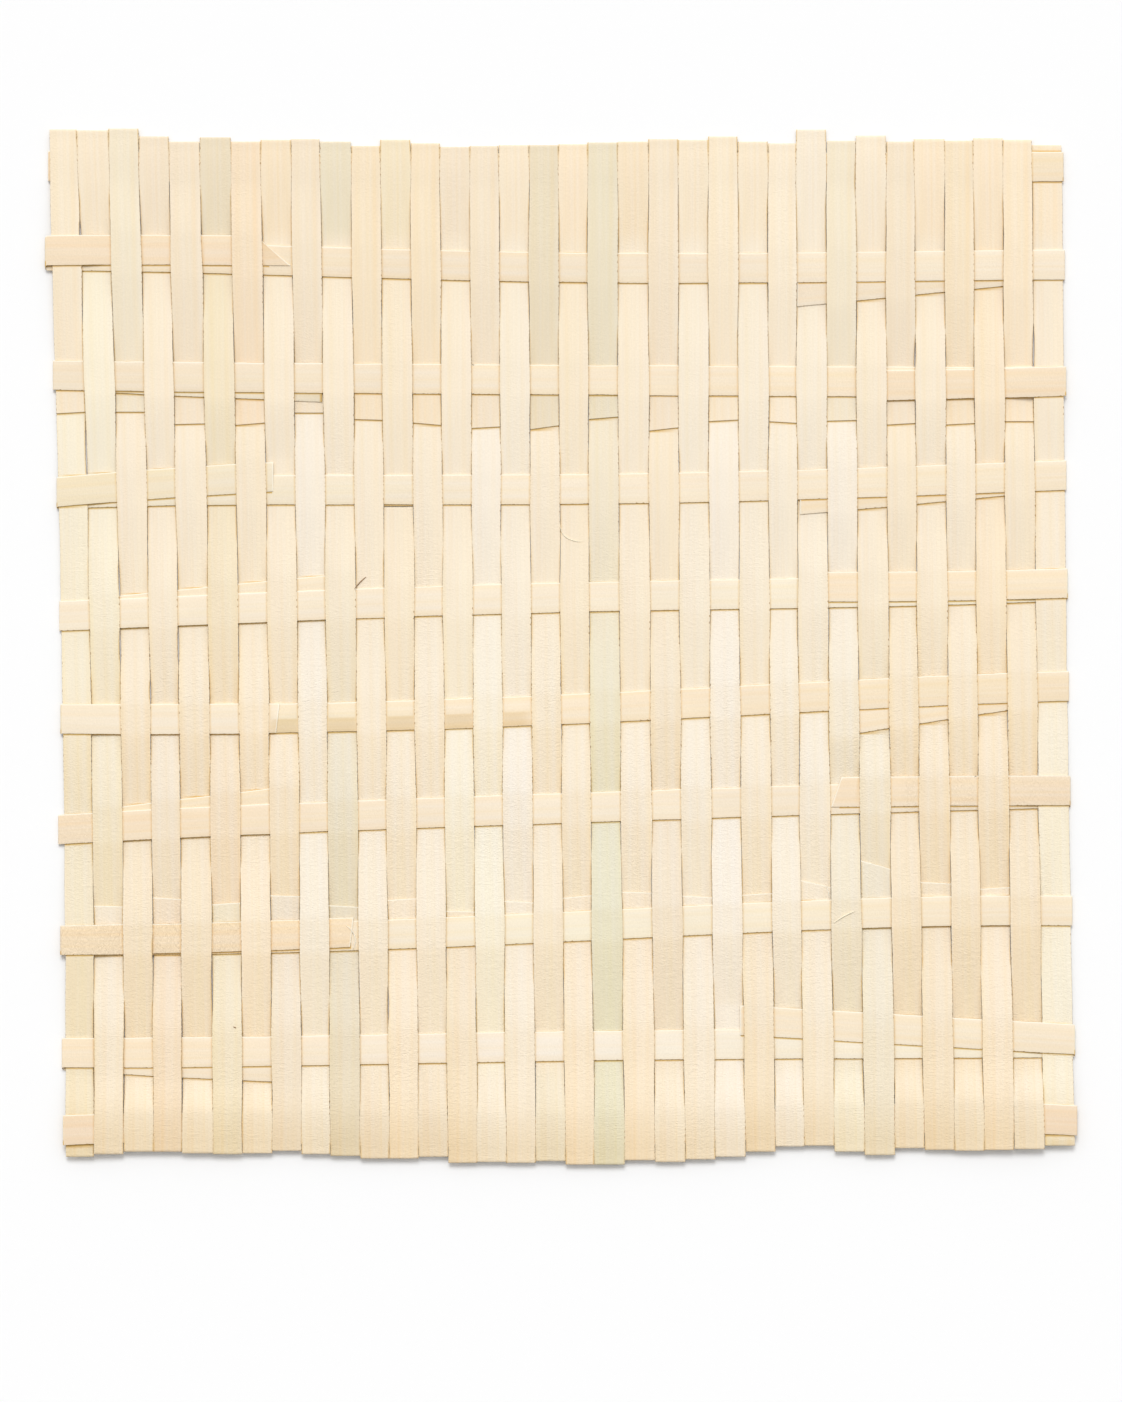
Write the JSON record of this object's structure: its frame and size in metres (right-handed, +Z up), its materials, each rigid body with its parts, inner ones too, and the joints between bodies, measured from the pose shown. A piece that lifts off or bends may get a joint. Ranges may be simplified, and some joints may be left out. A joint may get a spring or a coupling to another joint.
{
  "type": "palm leaf rug",
  "caption": "Square woven floor rug of flat dried palm-leaf strips, with the strip ends folded back and tucked into the weave.",
  "frame": {"origin": "centre of the rug's outline, on the surface that it lies on", "axes": "+X along the crossing strips towards the picture's right, +Y along the lengthwise strips towards the picture's top, +Z up out of the face"},
  "size_m": [0.6006, 0.601, 0.0075],
  "materials": {
    "leaf_cream": "dried palm leaf, cream, matte with fine lengthwise veins",
    "leaf_straw": "dried palm leaf, straw yellow, matte with fine lengthwise veins",
    "leaf_peach": "dried palm leaf, peach, matte with fine lengthwise veins",
    "leaf_pinkish": "dried palm leaf, pinkish beige, matte with fine lengthwise veins",
    "leaf_green": "dried palm leaf, pale grey-green, matte with fine lengthwise veins"
  },
  "bodies": {
    "root": {"long_strip_01": "leaf_cream", "long_strip_02": "leaf_cream", "long_strip_03": "leaf_straw", "long_strip_04": "leaf_pinkish", "long_strip_05": "leaf_straw", "long_strip_06": "leaf_green", "long_strip_07": "leaf_peach", "long_strip_08": "leaf_peach", "long_strip_09": "leaf_cream", "long_strip_10": "leaf_green", "long_strip_11": "leaf_peach", "long_strip_12": "leaf_cream", "long_strip_13": "leaf_straw", "long_strip_14": "leaf_pinkish", "long_strip_15": "leaf_cream", "long_strip_16": "leaf_pinkish", "long_strip_17": "leaf_green", "long_strip_18": "leaf_peach", "long_strip_19": "leaf_green", "long_strip_20": "leaf_peach", "long_strip_21": "leaf_pinkish", "long_strip_22": "leaf_cream", "long_strip_23": "leaf_cream", "long_strip_24": "leaf_pinkish", "long_strip_25": "leaf_cream", "long_strip_26": "leaf_pinkish", "long_strip_27": "leaf_green", "long_strip_28": "leaf_straw", "long_strip_29": "leaf_green", "long_strip_30": "leaf_cream", "long_strip_31": "leaf_peach", "long_strip_32": "leaf_peach", "long_strip_33": "leaf_straw", "long_strip_34": "leaf_straw", "cross_strip_A": "leaf_peach", "cross_strip_B": "leaf_pinkish", "cross_strip_C": "leaf_peach", "cross_strip_D": "leaf_pinkish", "cross_strip_E": "leaf_cream", "cross_strip_F": "leaf_straw", "cross_strip_G": "leaf_peach", "cross_strip_H": "leaf_cream", "cross_strip_I": "leaf_cream", "cross_strip_J": "leaf_peach"}
  },
  "joints": []
}
